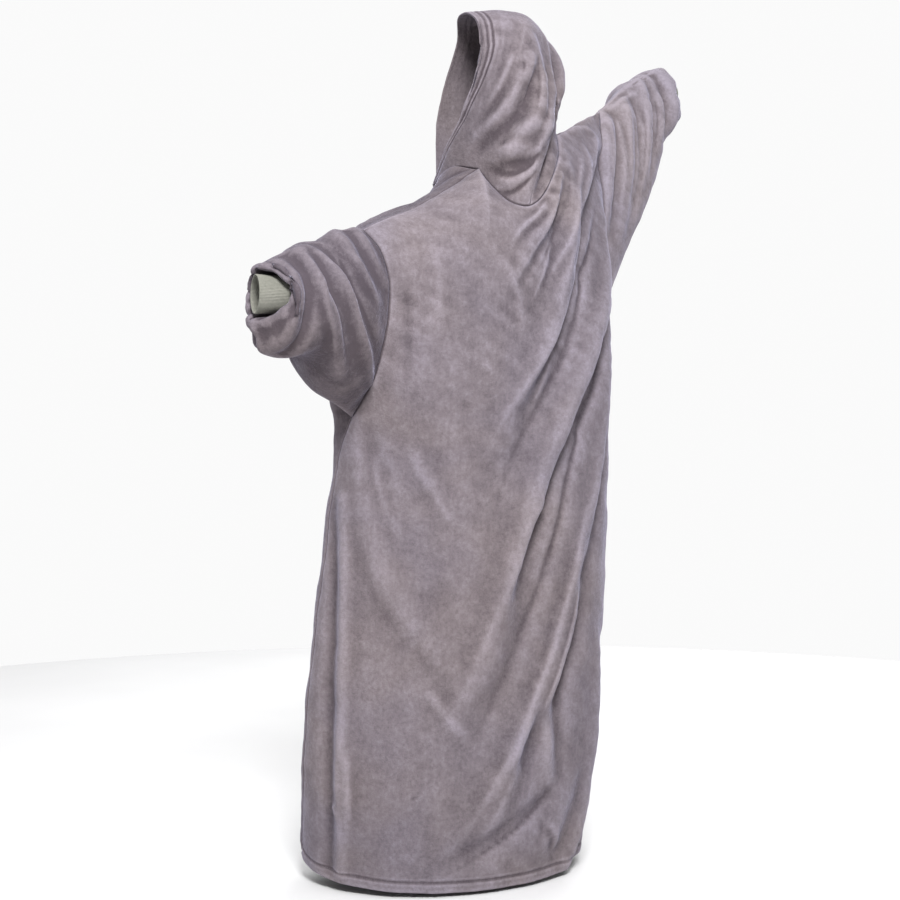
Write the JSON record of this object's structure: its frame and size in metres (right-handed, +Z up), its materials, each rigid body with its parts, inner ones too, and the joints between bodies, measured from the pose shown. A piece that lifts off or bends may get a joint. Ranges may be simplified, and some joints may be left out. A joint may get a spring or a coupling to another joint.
{
  "type": "hooded quarter-zip pullover",
  "caption": "Floor-length oversized hooded quarter-zip pullover in grey plush fleece, hollow in its worn pose, with rib cuffs and a pull tab that swings.",
  "frame": {"origin": "inside the neck opening, where the garment rests when worn, 1.40 m over the floor that the back hem touches", "axes": "+Z up the standing garment, the front and its zip face -Y, and the wearer's left arm points to +X"},
  "size_m": [1.258, 0.4536, 1.6944],
  "materials": {
    "mauve_grey_fleece": "matt brushed plush pile",
    "sage_grey_rib": "matt rib knit",
    "grey_zip_tape": "matt woven tape",
    "dull_zip_metal": "dull dark metal"
  },
  "bodies": {
    "garment": {"back_panel": "mauve_grey_fleece", "front_panel": "mauve_grey_fleece", "sleeve_left": "mauve_grey_fleece", "sleeve_right": "mauve_grey_fleece", "hood_left": "mauve_grey_fleece", "hood_right": "mauve_grey_fleece", "cuff_left": "sage_grey_rib", "cuff_right": "sage_grey_rib", "zip_tape": "grey_zip_tape", "zip_teeth": "dull_zip_metal", "zip_stop": "dull_zip_metal", "zip_slider": "dull_zip_metal"},
    "pull_tab": {"zip_pull": "dull_zip_metal"}
  },
  "joints": [
    {"name": "pull_tab_swing", "type": "hinge", "parent": "garment", "child": "pull_tab", "pos_m": [0.0494, -0.1501, -0.04767], "axis": [-0.9935, -0.114, 0], "range_deg": [0, 120]}
  ]
}
